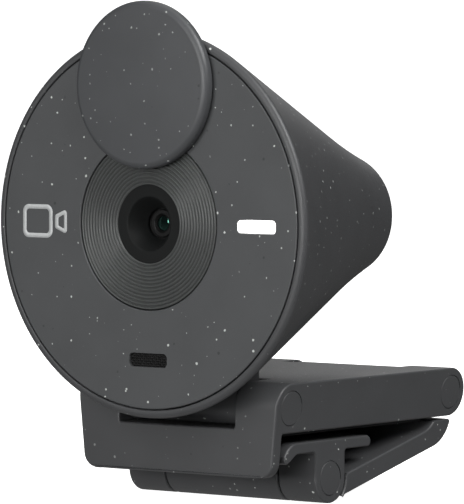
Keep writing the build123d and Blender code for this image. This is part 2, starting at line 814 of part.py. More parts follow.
# Clip bracket: arm and lip in one moulding, hollow from below
room_front_y = slot_rear_y + arm_wall
room_rear_y = rear_slot_y - arm_wall
room_middle_y = (room_front_y + room_rear_y) / 2
room_length = room_rear_y - room_front_y
room_half_width = clip_half_width_at(arm_bottom) - arm_wall - base_rebate
base_screw_x = room_half_width - base_boss_inset
base_screw_y = room_length / 2 - base_boss_inset
with BuildPart() as clip_bracket:
    with BuildSketch(Plane.YZ):
        with Locations(((tilt_y + leg_y) / 2, pin_z)):
            SlotCenterToCenter(pin_spacing, arm_thickness)
        with BuildLine():
            Polyline(
                (arm_front, pin_z),
                (arm_front, lip_bottom),
                (arm_front + lip_thickness, lip_bottom),
                (arm_front + lip_thickness, arm_bottom),
                (tilt_y, arm_bottom),
                (tilt_y, pin_z),
                close=True,
            )
        make_face()
    extrude(amount=clip_half_width, both=True)
    add(clip_envelope.part, mode=Mode.INTERSECT)
    fillet(clip_bracket.edges().filter_by(Axis.Y).group_by(Axis.Z)[0], lip_corner)
    with BuildSketch(Plane.XY.offset(arm_bottom + slot_floor)):
        with Locations((0, slot_rear_y)):
            Rectangle(2 * knuckle_half_gap, arm_length, align=(Align.CENTER, Align.MAX))
    extrude(amount=arm_top, mode=Mode.SUBTRACT)
    with BuildSketch(Plane.XY.offset(-arm_top)):
        with Locations((0, rear_slot_y)):
            Rectangle(2 * knuckle_half_gap, arm_length, align=(Align.CENTER, Align.MIN))
    extrude(amount=3 * arm_top, mode=Mode.SUBTRACT)
    with BuildSketch(Plane.XY.offset(arm_bottom)):
        with Locations((0, room_middle_y)):
            Rectangle(2 * room_half_width, room_length)
    extrude(amount=arm_thickness - arm_wall, mode=Mode.SUBTRACT)
    with BuildSketch(Plane.XY.offset(arm_bottom)):
        with Locations((0, room_middle_y)):
            Rectangle(2 * (room_half_width + base_rebate), room_length + 2 * base_rebate)
    extrude(amount=base_thickness, mode=Mode.SUBTRACT)
    with BuildSketch(Plane.XY.offset(arm_bottom + base_thickness)):
        with Locations((0, room_middle_y)):
            with GridLocations(2 * base_screw_x, 2 * base_screw_y, 2, 2):
                Circle(base_boss_radius)
                Circle(screw_radius, mode=Mode.SUBTRACT)
    extrude(amount=arm_thickness - arm_wall - base_thickness)
    with BuildSketch(Plane.YZ):
        with Locations((tilt_y, pin_z), (leg_y, pin_z)):
            Circle(pin_radius)
    extrude(amount=clip_full_width, both=True, mode=Mode.SUBTRACT)
    for side in (-1, 1):
        with BuildSketch(Plane.YZ.offset(side * pin_half_length)):
            with Locations((tilt_y, pin_z), (leg_y, pin_z)):
                Circle(cap_radius + cap_gap)
        extrude(amount=side * clip_half_width, mode=Mode.SUBTRACT)
save(clip_bracket, "clip_bracket")

# Base plate under the arm, with recesses for its screw heads
base_plate_width = 2 * (room_half_width + base_rebate - fit_gap)
base_plate_length = room_length + 2 * (base_rebate - fit_gap)
with BuildPart() as arm_base_plate:
    with BuildSketch(Plane.XY.offset(arm_bottom)):
        with Locations((0, room_middle_y)):
            Rectangle(base_plate_width, base_plate_length)
            with GridLocations(2 * base_screw_x, 2 * base_screw_y, 2, 2):
                Circle(screw_radius, mode=Mode.SUBTRACT)
    extrude(amount=base_thickness)
    with BuildSketch(Plane.XY.offset(arm_bottom)):
        with Locations((0, room_middle_y)):
            with GridLocations(2 * base_screw_x, 2 * base_screw_y, 2, 2):
                Circle(screw_head_radius + fit_gap)
    extrude(amount=screw_head_height, mode=Mode.SUBTRACT)
save(arm_base_plate, "arm_base_plate")

# Base plate screws, heads down
base_screw = make_screw(base_screw_length)
screw_seat = Plane(origin=(0, room_middle_y, arm_bottom + screw_head_height), z_dir=(0, 0, -1))
with BuildPart(screw_seat) as base_screws:
    with GridLocations(2 * base_screw_x, 2 * base_screw_y, 2, 2):
        add(base_screw)
save(base_screws, "base_screws")

# Rubber pad under the arm
with BuildPart() as arm_pad:
    with BuildSketch(Plane.XY):
        RectangleRounded(2 * (clip_half_width_at(arm_bottom) - pad_side_gap), pad_length, pad_corner)
    extrude(amount=pad_thickness)
save(arm_pad, "arm_pad")

# Rubber strip on the back of the lip
lip_pad_width = 2 * (clip_half_width_at(lip_bottom) - pad_side_gap)
lip_pad_top = arm_bottom - lip_pad_gap_above
lip_pad_bottom = lip_bottom + lip_corner - lip_pad_gap_below
with BuildPart() as lip_pad:
    with BuildSketch(Plane.XZ.offset(-arm_front - lip_thickness)):
        with Locations((0, (lip_pad_top + lip_pad_bottom) / 2)):
            RectangleRounded(lip_pad_width, lip_pad_top - lip_pad_bottom, pad_corner)
    extrude(amount=-lip_pad_thickness)
save(lip_pad, "lip_pad")


def make_pin(y, z, half_length):
    with BuildPart() as pin:
        with BuildSketch(Plane.YZ):
            with Locations((y, z)):
                Circle(pin_radius)
        extrude(amount=half_length, both=True)
    return pin


def make_bush(y, z):
    with BuildPart() as bush:
        with BuildSketch(Plane.YZ):
            with Locations((y, z)):
                Circle(bush_radius)
                Circle(pin_radius + running_gap, mode=Mode.SUBTRACT)
        extrude(amount=knuckle_half_width, both=True)
    return bush


def make_caps(y, z, inner_x, outer_x):
    with BuildPart() as caps:
        for side in (-1, 1):
            with BuildSketch(Plane.YZ.offset(side * inner_x)):
                with Locations((y, z)):
                    Circle(cap_radius)
            extrude(amount=side * (outer_x - inner_x))
    return caps


# Tilt pin and leg pin, each pressed into the bracket's ears, with caps that follow the sides
tilt_pin = make_pin(tilt_y, pin_z, pin_half_length)
save(tilt_pin, "tilt_pin")
leg_pin = make_pin(leg_y, pin_z, pin_half_length)
save(leg_pin, "leg_pin")
tilt_cap_blanks = make_caps(tilt_y, pin_z, pin_half_length, clip_full_width)
with BuildPart() as tilt_pin_caps:
    add(tilt_cap_blanks.part)
    add(clip_envelope.part, mode=Mode.INTERSECT)
save(tilt_pin_caps, "tilt_pin_caps")
leg_cap_blanks = make_caps(leg_y, pin_z, pin_half_length, clip_full_width)
with BuildPart() as leg_pin_caps:
    add(leg_cap_blanks.part)
    add(clip_envelope.part, mode=Mode.INTERSECT)
save(leg_pin_caps, "leg_pin_caps")

# Bushes that turn on the pins
tilt_bush = make_bush(tilt_y, pin_z)
save(tilt_bush, "tilt_bush")
leg_bush = make_bush(leg_y, pin_z)
save(leg_bush, "leg_bush")
foot_bush = make_bush(foot_y, foot_z)
save(foot_bush, "foot_bush")

# Leg: a sloping plate that curls up to its knuckle on the leg pin
leg_line = Plane(origin=(0, foot_y, foot_z), x_dir=(0, cos(leg_angle), sin(leg_angle)), z_dir=(1, 0, 0))


def leg_point(along, across):
    spot = leg_line.from_local_coords((along, across, 0))
    return (spot.Y, spot.Z)


tip_top = arm_bottom - leg_tip_gap
tip_front = leg_y - leg_tip_front
tip_rear = leg_y + leg_tip_rear
leg_inner = leg_outer_offset - leg_thickness
with BuildPart() as rear_leg:
    with BuildSketch(Plane.YZ):
        with BuildLine():
            under = Line(leg_point(0, -leg_outer_offset), leg_point(leg_outer_straight, -leg_outer_offset))
            heel = TangentArc(under @ 1, (tip_rear, tip_top - tip_chamfer), tangent=under % 1)
            over = Line(leg_point(0, -leg_inner), leg_point(leg_inner_straight, -leg_inner))
            throat = TangentArc(over @ 1, (tip_front, tip_top), tangent=over % 1)
            Polyline(heel @ 1, (tip_rear - tip_chamfer, tip_top), throat @ 1)
            Line(over @ 0, under @ 0)
        make_face()
    extrude(amount=leg_half_width, both=True)
    for side in (-1, 1):
        with BuildSketch(Plane.YZ.offset(side * knuckle_half_width)):
            with Locations((foot_y, foot_z)):
                Circle(foot_round + turn_gap)
        extrude(amount=side * leg_half_width, mode=Mode.SUBTRACT)
    outline_edges = []
    for side_face in rear_leg.faces().filter_by(Axis.X):
        if abs(side_face.center().X) > leg_half_width - 0.01:
            outline_edges += side_face.edges()
    fillet(outline_edges, edge_round)
    with BuildSketch(Plane.YZ):
        with Locations((foot_y, foot_z)):
            Circle(foot_round)
        with Locations((leg_y, pin_z)):
            Circle(leg_knuckle_round)
        with BuildLine():
            Polyline(
                (leg_y - leg_web_front, tip_top - leg_web_overlap),
                (tip_rear - leg_web_rear_gap, tip_top - leg_web_overlap),
                (tip_rear, pin_z),
                (leg_y - leg_web_front, pin_z),
                close=True,
            )
        make_face()
    extrude(amount=knuckle_half_width, both=True)
    with BuildSketch(Plane.YZ):
        with Locations((foot_y, foot_z), (leg_y, pin_z)):
            Circle(bush_radius)
    extrude(amount=knuckle_half_gap, both=True, mode=Mode.SUBTRACT)
save(rear_leg, "rear_leg")

# Foot: a flange with a hooked front edge, on two ears that hold the foot pin
flange_top = -flange_gap
flange_bottom = flange_top - flange_thickness
hook_y = foot_y - flange_front
hook_tip_y = hook_y - hook_reach + hook_lean
flange_end_y = foot_y + flange_rear
ear_height = flange_top - foot_z - flange_thickness / 2
foot_pad_half_width = leg_half_width - foot_pad_margin
foot_pad_y = (hook_y + flange_end_y) / 2
foot_pin_half_length = leg_half_width - cap_thickness
with BuildPart() as foot:
    with BuildSketch(Plane.YZ):
        with BuildLine():
            crown = TangentArc(
                (hook_y, flange_top), (hook_y - hook_reach, flange_top - hook_shoulder), tangent=(-1, 0)
            )
            Polyline(
                crown @ 1,
                (hook_tip_y, flange_top - hook_drop),
                (hook_tip_y + hook_tip_width, flange_top - hook_drop + hook_lean),
                (hook_y + hook_root, flange_bottom),
                (flange_end_y - flange_chamfer_length, flange_bottom),
                (flange_end_y, flange_bottom + flange_chamfer_height),
                (flange_end_y - flange_rear_lean, flange_top),
                crown @ 0,
            )
        make_face()
        with Locations((foot_y, foot_z)):
            Rectangle(2 * foot_round, ear_height, align=(Align.CENTER, Align.MIN))
            Circle(foot_round)
    extrude(amount=leg_half_width, both=True)
    outline_edges = []
    for side_face in foot.faces().filter_by(Axis.X):
        outline_edges += side_face.edges()
    fillet(outline_edges, edge_round)
    with BuildSketch(Plane.XY.offset(flange_bottom)):
        with Locations((0, foot_y)):
            Rectangle(2 * knuckle_half_gap, foot_slot_length)
    extrude(amount=2 * foot_z, mode=Mode.SUBTRACT)
    with BuildSketch(Plane.XY.offset(flange_top)):
        with Locations((0, foot_pad_y)):
            RectangleRounded(2 * foot_pad_half_width, foot_pad_length, foot_pad_corner)
    extrude(amount=-foot_pad_depth, mode=Mode.SUBTRACT)
    with BuildSketch(Plane.YZ):
        with Locations((foot_y, foot_z)):
            Circle(pin_radius)
    extrude(amount=clip_half_width, both=True, mode=Mode.SUBTRACT)
    for side in (-1, 1):
        with BuildSketch(Plane.YZ.offset(side * foot_pin_half_length)):
            with Locations((foot_y, foot_z)):
                Circle(cap_radius + cap_gap)
        extrude(amount=side * clip_half_width, mode=Mode.SUBTRACT)
save(foot, "foot")

# Rubber pad let into the foot's flange
with BuildPart() as foot_pad:
    with BuildSketch(Plane.XY.offset(flange_top)):
        with Locations((0, foot_pad_y)):
            RectangleRounded(
                2 * (foot_pad_half_width - fit_gap), foot_pad_length - 2 * fit_gap, foot_pad_corner
            )
    extrude(amount=-foot_pad_depth)
save(foot_pad, "foot_pad")

# Foot pin and its caps
foot_pin = make_pin(foot_y, foot_z, foot_pin_half_length)
save(foot_pin, "foot_pin")
foot_pin_caps = make_caps(foot_y, foot_z, foot_pin_half_length, leg_half_width)
save(foot_pin_caps, "foot_pin_caps")
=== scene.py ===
import math

import bmesh
import bpy
import numpy as np
from mathutils import Matrix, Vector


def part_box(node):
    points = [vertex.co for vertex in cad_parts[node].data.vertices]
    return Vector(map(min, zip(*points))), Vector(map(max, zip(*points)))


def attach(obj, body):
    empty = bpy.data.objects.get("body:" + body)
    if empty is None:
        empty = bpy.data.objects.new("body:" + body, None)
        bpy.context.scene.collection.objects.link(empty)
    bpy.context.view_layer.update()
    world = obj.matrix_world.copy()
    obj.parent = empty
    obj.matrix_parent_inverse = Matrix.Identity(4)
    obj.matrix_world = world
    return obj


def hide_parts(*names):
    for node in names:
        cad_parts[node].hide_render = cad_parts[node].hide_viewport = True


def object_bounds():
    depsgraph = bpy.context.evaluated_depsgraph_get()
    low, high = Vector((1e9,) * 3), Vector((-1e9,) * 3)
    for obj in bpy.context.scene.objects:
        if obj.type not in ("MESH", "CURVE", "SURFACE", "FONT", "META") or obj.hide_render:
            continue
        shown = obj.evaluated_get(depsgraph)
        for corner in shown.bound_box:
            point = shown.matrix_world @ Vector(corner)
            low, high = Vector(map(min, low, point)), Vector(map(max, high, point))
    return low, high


# A clip-on webcam: cone-shaped head with a swinging shutter, tilting on a folding clip.
# Lengths in this file are millimetres, and become metres when a mesh is made.
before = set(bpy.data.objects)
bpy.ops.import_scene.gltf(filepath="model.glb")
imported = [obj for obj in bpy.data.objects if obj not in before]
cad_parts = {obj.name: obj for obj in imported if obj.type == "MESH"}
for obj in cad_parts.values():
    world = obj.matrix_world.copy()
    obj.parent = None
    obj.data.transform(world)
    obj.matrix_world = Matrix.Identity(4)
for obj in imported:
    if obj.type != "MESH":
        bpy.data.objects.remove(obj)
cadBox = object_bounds()
scene = bpy.context.scene
mm = 0.001


def middleOf(node):
    # halfway between the lowest and highest corners of a CAD node, in millimetres
    low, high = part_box(node)
    return (np.array(low) + np.array(high)) / (2 * mm)


def edgesOf(node):
    low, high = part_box(node)
    return np.array(low) / mm, np.array(high) / mm


faceY = edgesOf("face_plate")[0][1]
lensZ = middleOf("face_plate")[2]
tiltPin = middleOf("tilt_pin")[1:]
legPin = middleOf("leg_pin")[1:]
footPin = middleOf("foot_pin")[1:]
lensCentre = np.array([0, faceY, lensZ])
print("frame loaded, face at y", round(faceY, 2), "and lens at z", round(lensZ, 2))


# ---- shapes worked out as arrays


def roundedLine(corners, arcSteps=10, support=0.06):
    # A closed run of lines joined by arcs. Each corner is (u, v, radius): its arc touches both lines,
    # at radius / tan(half the corner's angle) from the corner, with one more point just outside each end.
    corners = np.array(corners, float)
    spot, radius = corners[:, :2], np.maximum(corners[:, 2], 0.004)
    toLast = np.roll(spot, 1, 0) - spot
    toNext = np.roll(spot, -1, 0) - spot
    lastLength = np.linalg.norm(toLast, axis=1)
    nextLength = np.linalg.norm(toNext, axis=1)
    toLast /= lastLength[:, None]
    toNext /= nextLength[:, None]
    halfAngle = np.arccos(np.clip((toLast * toNext).sum(1), -1, 1)) / 2
    reach = radius / np.tan(halfAngle)
    middle = toLast + toNext
    centre = spot + middle / np.linalg.norm(middle, axis=1)[:, None] * (radius / np.sin(halfAngle))[:, None]
    turn = np.sign(toLast[:, 0] * toNext[:, 1] - toLast[:, 1] * toNext[:, 0]) * (math.pi - 2 * halfAngle)
    share = np.linspace(0, 1, arcSteps + 1)
    arm = spot + toLast * reach[:, None] - centre
    angle = -turn[:, None] * share
    arcs = np.stack(
        [
            centre[:, :1] + arm[:, :1] * np.cos(angle) - arm[:, 1:] * np.sin(angle),
            centre[:, 1:] + arm[:, :1] * np.sin(angle) + arm[:, 1:] * np.cos(angle),
        ],
        axis=2,
    )
    freeNext = np.maximum(nextLength - reach - np.roll(reach, -1), 0)
    before = np.minimum(support, np.roll(freeNext, 1) / 3)
    after = np.minimum(support, freeNext / 3)
    first = spot + toLast * (reach + before)[:, None]
    last = spot + toNext * (reach + after)[:, None]
    return np.concatenate([first[:, None], arcs, last[:, None]], axis=1).reshape(-1, 2)


def tangentArc(start, direction, end, steps=16):
    # The one arc that leaves start along direction and arrives at end.
    start, end = np.array(start, float), np.array(end, float)
    direction = np.array(direction, float) / np.linalg.norm(direction)
    side = np.array([-direction[1], direction[0]])
    chord = end - start
    radius = chord @ chord / (2 * (side @ chord))
    centre = start + side * radius
    arm = start - centre
    sweep = 2 * math.atan2(side @ chord, direction @ chord)
    angle = np.linspace(0, sweep, steps + 1)
    return np.stack(
        [
            centre[0] + arm[0] * np.cos(angle) - arm[1] * np.sin(angle),
            centre[1] + arm[0] * np.sin(angle) + arm[1] * np.cos(angle),
        ],
        axis=1,
    )


def roundOutline(centre, radius, steps=96):
    angle = np.arange(steps) * 2 * math.pi / steps
    return np.stack([centre[0] + radius * np.cos(angle), centre[1] + radius * np.sin(angle)], axis=1)


def gridQuads(rows, columns, closeRows=True, closeColumns=True):
    # quad (i, j) joins grid points (i, j), (i, j+1), (i+1, j+1) and (i+1, j), and goes round a closed side
    i = np.arange(rows if closeRows else rows - 1)[:, None]
    j = np.arange(columns if closeColumns else columns - 1)[None, :]
    nextI, nextJ = (i + 1) % rows, (j + 1) % columns
    here, below = i * columns, nextI * columns
    quads = np.stack([here + j, here + nextJ, below + nextJ, below + j], axis=2)
    return quads.reshape(-1, 4)


def makePiece(name, points, faceGroups):
    # points in millimetres; each group is an array of faces with the same number of corners
    mesh = bpy.data.meshes.new(name)
    faces = [face for group in faceGroups for face in np.asarray(group).tolist()]
    mesh.from_pydata((np.asarray(points) * mm).tolist(), [], faces)
    shape = bmesh.new()
    shape.from_mesh(mesh)
    bmesh.ops.remove_doubles(shape, verts=shape.verts, dist=1e-7)
    bmesh.ops.dissolve_degenerate(shape, edges=shape.edges, dist=1e-8)
    bmesh.ops.recalc_face_normals(shape, faces=shape.faces)
    shape.to_mesh(mesh)
    shape.free()
    piece = bpy.data.objects.new(name, mesh)
    scene.collection.objects.link(piece)
    mesh.shade_smooth()
    return piece


def turned(name, profile, centre=lensCentre, steps=256):
    # Each profile point (radius, depth) goes round the axis along Y: x = radius cos t, z = radius sin t.
    profile = np.asarray(profile, float)
    angle = np.arange(steps) * 2 * math.pi / steps
    radius, depth = profile[:, :1], profile[:, 1:]
    points = np.stack(
        [
            centre[0] + radius * np.cos(angle),
            centre[1] + depth + 0 * angle,
            centre[2] + radius * np.sin(angle),
        ],
        axis=2,
    )
    return makePiece(name, points.reshape(-1, 3), [gridQuads(len(profile), steps)])


def prism(name, outline, axis, low, high):
    # The closed outline (in the two axes left over, in their order) carried from low to high along the axis.
    outline = np.asarray(outline, float)
    count = len(outline)
    ends = np.repeat([low, high], count)
    flat = np.tile(outline, (2, 1))
    points = np.insert(flat, "xyz".index(axis), ends, axis=1)
    caps = np.stack([np.arange(count)[::-1], count + np.arange(count)])
    return makePiece(name, points, [gridQuads(2, count, closeRows=False), caps])


def block(low, high):
    low, high = np.array(low, float), np.array(high, float)
    outline = [(low[1], low[2]), (high[1], low[2]), (high[1], high[2]), (low[1], high[2])]
    return prism("block", outline, "x", low[0], high[0])


def pinHole(centre, radius, low, high, steps=96):
    return prism("hole", roundOutline(centre, radius, steps), "x", low, high)


def settle(piece):
    # the piece's modifiers become part of its mesh
    made = bpy.data.meshes.new_from_object(piece.evaluated_get(bpy.context.evaluated_depsgraph_get()))
    old = piece.data
    piece.modifiers.clear()
    piece.data = made
    bpy.data.meshes.remove(old)
    made.name = piece.name


def combine(piece, operation, *others):
    # cuts, joins or trims the piece with each of the others, which are used up
    for other in others:
        step = piece.modifiers.new("step", "BOOLEAN")
        step.operation = operation
        step.solver = "EXACT"
        step.object = other
        settle(piece)
        bpy.data.objects.remove(other)
    return piece


def soften(piece, width, segments=4, angle=32):
    # rounds every edge sharper than the angle
    piece.data.shade_smooth()
    bevel = piece.modifiers.new("soften", "BEVEL")
    bevel.width = width * mm
    bevel.segments = segments
    bevel.limit_method = "ANGLE"
    bevel.angle_limit = math.radians(angle)
    bevel.harden_normals = True
    bevel.use_clamp_overlap = False
    bevel.miter_outer = "MITER_ARC"
    return piece


# ---- finishes


def newMaterial(name):
    material = bpy.data.materials.new(name)
    material.use_nodes = True
    material.node_tree.nodes.clear()
    return material, material.node_tree


def addNode(tree, kind, inputs=None, **settings):
    # a node with its settings, where each input is a value or another node's socket
    made = tree.nodes.new("ShaderNode" + kind)
    for key, value in settings.items():
        setattr(made, key, value)
    for key, value in (inputs or {}).items():
        if isinstance(value, bpy.types.NodeSocket):
            tree.links.new(value, made.inputs[key])
        else:
            made.inputs[key].default_value = value
    return made


def calc(tree, operation, a, b=0.0, clamp=False):
    return addNode(tree, "Math", {0: a, 1: b}, operation=operation, use_clamp=clamp).outputs[0]


def ramp(tree, value, low, high, start=0.3, end=0.7):
    # low where the value is start, high where it is end
    limits = {"Value": value, "From Min": start, "From Max": end, "To Min": low, "To Max": high}
    return addNode(tree, "MapRange", limits).outputs[0]


def finishShader(tree, **inputs):
    shader = addNode(tree, "BsdfPrincipled", {key.replace("_", " "): value for key, value in inputs.items()})
    output = addNode(tree, "OutputMaterial")
    tree.links.new(shader.outputs[0], output.inputs[0])
    return shader


def specks(tree, place, cell, largest, fewest, seed):
    # Round grains scattered in space: one point in each cell, seen where the surface cuts near it.
    shift = addNode(tree, "Mapping", {"Vector": place, "Location": (seed, seed * 0.37, seed * 1.7)})
    wobble = addNode(tree, "TexNoise", {"Vector": shift.outputs[0], "Scale": 3200.0, "Detail": 1.0})
    middle = {0: wobble.outputs["Color"], 1: (0.5, 0.5, 0.5)}
    centred = addNode(tree, "VectorMath", middle, operation="SUBTRACT")
    small = addNode(tree, "VectorMath", {0: centred.outputs[0], "Scale": 0.00022}, operation="SCALE")
    moved = addNode(tree, "VectorMath", {0: shift.outputs[0], 1: small.outputs[0]}, operation="ADD")
    cells = addNode(tree, "TexVoronoi", {"Vector": moved.outputs[0], "Scale": 1 / (cell * mm)})
    chance = addNode(tree, "SeparateColor", {"Color": cells.outputs["Color"]})
    size = ramp(tree, chance.outputs[0], 0.0, largest / cell, fewest, 1.0)
    inside = calc(tree, "SUBTRACT", size, cells.outputs["Distance"])
    edge = calc(tree, "MULTIPLY", inside, 22.0, clamp=True)
    return calc(tree, "MULTIPLY", edge, ramp(tree, chance.outputs[1], 0.22, 1.0, 0.0, 1.0))


def speckledPlastic(name, look):
    # moulded plastic with pale and dark grains in it, a slow change of tone and a fine grain on its surface
    material, tree = newMaterial(name)
    place = addNode(tree, "TexCoord").outputs["Object"]
    tone = addNode(tree, "TexNoise", {"Vector": place, "Scale": 140.0, "Detail": 3.0})
    level = ramp(tree, tone.outputs[0], 0.94, 1.06)
    base = addNode(tree, "VectorMath", {0: look["base"], "Scale": level}, operation="SCALE").outputs[0]
    dark = specks(tree, place, 1.9, 0.26, 0.45, 3.1)
    amount = calc(tree, "MULTIPLY", dark, 0.75)
    darkened = addNode(tree, "Mix", {0: amount, 6: base, 7: (0.008, 0.008, 0.009, 1)}, data_type="RGBA")
    pale = specks(tree, place, look["cell"], look["speck"], 0.0, 0.6)
    coloured = addNode(tree, "Mix", {0: pale, 6: darkened.outputs[2], 7: look["pale"]}, data_type="RGBA")
    grain = addNode(tree, "TexNoise", {"Vector": place, "Scale": 7000.0, "Detail": 2.0})
    rough = ramp(tree, grain.outputs[0], look["rough"] - 0.05, look["rough"] + 0.05)
    bump = addNode(tree, "Bump", {"Height": grain.outputs[0], "Strength": 0.22, "Distance": 0.00003})
    finishShader(
        tree,
        Base_Color=coloured.outputs[2],
        Roughness=rough,
        Normal=bump.outputs[0],
        IOR=1.46,
    )
    return material


def plainFinish(
    name, colour, rough, metal=0.0, grainScale=5000.0, grainDepth=0.00002, spread=0.08, ior=1.46
):
    # one colour with a fine change of tone, and the same fine grain in its gloss and surface
    material, tree = newMaterial(name)
    place = addNode(tree, "TexCoord").outputs["Object"]
    grain = addNode(tree, "TexNoise", {"Vector": place, "Scale": grainScale, "Detail": 3.0})
    level = ramp(tree, grain.outputs[0], 1 - spread, 1 + spread)
    tinted = addNode(tree, "VectorMath", {0: colour, "Scale": level}, operation="SCALE")
    gloss = ramp(tree, grain.outputs[0], rough * 0.88, min(1, rough * 1.12))
    bump = addNode(tree, "Bump", {"Height": grain.outputs[0], "Strength": 0.3, "Distance": grainDepth})
    finishShader(
        tree,
        Base_Color=tinted.outputs[0],
        Roughness=gloss,
        Normal=bump.outputs[0],
        Metallic=metal,
        IOR=ior,
    )
    return material


grains = {"pale": (0.5, 0.52, 0.5, 1), "cell": 1.2, "speck": 0.2}
shellLook = {"base": (0.046, 0.047, 0.049), "rough": 0.46, **grains}
faceLook = {"base": (0.052, 0.054, 0.056), "rough": 0.5, **grains}
shutterLook = {"base": (0.05, 0.052, 0.055), "rough": 0.44, **grains}

shellPlastic = speckledPlastic("speckled_shell_finish", shellLook)
facePlastic = speckledPlastic("speckled_face_finish", faceLook)
shutterPlastic = speckledPlastic("speckled_shutter_finish", shutterLook)
ringFinish = plainFinish("ring_satin", (0.055, 0.058, 0.057), 0.34)
blackPlastic = plainFinish("black_moulding", (0.011, 0.0115, 0.012), 0.42)
bezelFinish = plainFinish("bezel_black", (0.006, 0.0065, 0.0065), 0.62, ior=1.25)
barrelFinish = plainFinish("barrel_black", (0.004, 0.004, 0.004), 0.4, ior=1.3)
sensorFinish = plainFinish("sensor_silicon", (0.03, 0.045, 0.06), 0.12, metal=0.4)
boardFinish = plainFinish("board_mask", (0.006, 0.035, 0.018), 0.3, grainScale=900.0, spread=0.2)
chipFinish = plainFinish("chip_resin", (0.012, 0.012, 0.012), 0.55)
tinFinish = plainFinish("tinned_steel_finish", (0.6, 0.6, 0.6), 0.28, metal=1.0)
brassFinish = plainFinish("brass_finish", (0.72, 0.5, 0.22), 0.26, metal=1.0)
rubberFinish = plainFinish(
    "rubber_finish", (0.012, 0.012, 0.012), 0.78, grainScale=3500.0, grainDepth=0.00006
)
adhesiveFinish = plainFinish("adhesive_film", (0.35, 0.33, 0.28), 0.5)
bearingFinish = plainFinish("bearing_plastic_finish", (0.65, 0.64, 0.6), 0.4)
printFinish = plainFinish("printed_ink", (0.42, 0.43, 0.43), 0.5)
meshFinish = plainFinish("woven_mesh_finish", (0.005, 0.005, 0.005), 0.45, ior=1.3)


def glassFinish(name, tint, rough, film):
    # dark coated glass: the coating's colour is the tint of its reflection, a little uneven
    material, tree = newMaterial(name)
    place = addNode(tree, "TexCoord").outputs["Object"]
    haze = addNode(tree, "TexNoise", {"Vector": place, "Scale": 900.0, "Detail": 1.0})
    gloss = addNode(tree, "MapRange", {"Value": haze.outputs[0], "To Min": rough, "To Max": rough * 2.0})
    finishShader(
        tree,
        Base_Color=(0.002, 0.003, 0.003, 1),
        Roughness=gloss.outputs[0],
        IOR=1.9,
        Specular_Tint=tint,
        Thin_Film_Thickness=film,
    )
    return material


def lampFinish(name, colour, strength):
    # a milky guide lit from behind, evenly, with a cloudy change in its gloss
    material, tree = newMaterial(name)
    place = addNode(tree, "TexCoord").outputs["Object"]
    cloud = addNode(tree, "TexNoise", {"Vector": place, "Scale": 1500.0, "Detail": 2.0})
    rough = addNode(tree, "MapRange", {"Value": cloud.outputs[0], "To Min": 0.3, "To Max": 0.5})
    finishShader(
        tree,
        Base_Color=(0.85, 0.87, 0.87, 1),
        Roughness=rough.outputs[0],
        Emission_Color=colour,
        Emission_Strength=strength,
    )
    return material


glassCoated = glassFinish("coated_glass", (0.35, 1.0, 0.8, 1), 0.03, 0.0)
lampWhite = lampFinish("status_white", (1.0, 0.995, 0.98, 1), 1.5)

slotFinish = {
    "speckled_shell": shellPlastic,
    "face_shell": facePlastic,
    "ring_metal": ringFinish,
    "black_plastic": blackPlastic,
    "lens_glass": glassCoated,
    "sensor": sensorFinish,
    "board": boardFinish,
    "chip": chipFinish,
    "tinned_steel": tinFinish,
    "brass": brassFinish,
    "rubber": rubberFinish,
    "light_guide": lampWhite,
    "adhesive": adhesiveFinish,
    "bearing_plastic": bearingFinish,
}
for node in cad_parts.values():
    for place in node.material_slots:
        place.material = slotFinish[place.material.name]
print("finishes made for", len(slotFinish), "slots")


def fit(piece, body, slot, finish, *nodes):
    # gives the piece its finish and puts it in place of its CAD nodes
    piece.data.materials.clear()
    piece.data.materials.append(finish)
    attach(piece, body)
    if nodes:
        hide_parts(*nodes)
    return piece


# ---- head

head = {
    "faceRadius": 26.84,
    "rimRound": 0.7,
    "waistRadius": 13.36,
    "waistDepth": 32.5,
    "rearRadius": 8.35,
    "rearRound": 1.5,
    "depth": 46.2,
    "wall": 1.8,
    "rimInner": 25.4,
    "ledge": 2.0,
    "glandHole": 3.0,
}
slope = (head["faceRadius"] - head["waistRadius"]) / head["waistDepth"]
wallAcross = head["wall"] * math.hypot(1, slope)


def coneProfile():
    # Straight cone to the waist, then one arc that narrows to the flat rear, with both ends rounded.
    arc = tangentArc(
        (head["waistRadius"], head["waistDepth"]), (-slope, 1), (head["rearRadius"], head["depth"]), 24
    )
    last = arc[-1] - arc[-2]
    front = roundedLine(
        [
            (0, 0, 0.01),
            (head["faceRadius"], 0, head["rimRound"]),
            (head["waistRadius"], head["waistDepth"], 0.01),
            (0, head["waistDepth"], 0.01),
        ]
    )
    bend = math.atan2(last[1], -last[0])
    return arc, front, bend


def shellProfile():
    arc, front, bend = coneProfile()
    perCorner = 13  # points on each rounded corner, of which the rim is the second
    rim = front[perCorner : 2 * perCorner]
    # rear corner: the arc's end is cut back where a round of the given radius touches it and the flat rear
    backAlong = head["rearRound"] * math.tan(bend / 2)
    fromEnd = np.linalg.norm(arc - arc[-1], axis=1)
    kept = arc[fromEnd > backAlong + 0.15]
    direction = (arc[-1] - arc[-3]) / np.linalg.norm(arc[-1] - arc[-3])
    start = arc[-1] - direction * backAlong
    corner = tangentArc(start, direction, (arc[-1][0] - backAlong, head["depth"]), 10)
    inner = [
        (head["glandHole"], head["depth"]),
        (head["glandHole"], head["depth"] - head["wall"]),
        (head["rearRadius"] - head["wall"], head["depth"] - head["wall"]),
        (head["waistRadius"] - wallAcross, head["waistDepth"]),
        (head["faceRadius"] - slope * head["ledge"] - wallAcross, head["ledge"]),
        (head["rimInner"], head["ledge"]),
        (head["rimInner"], 0.12),
        (head["rimInner"] + 0.035, 0.035),
        (head["rimInner"] + 0.12, 0),
        (head["rimInner"] + 0.2, 0),
    ]
    return np.concatenate([rim, kept, corner, inner])


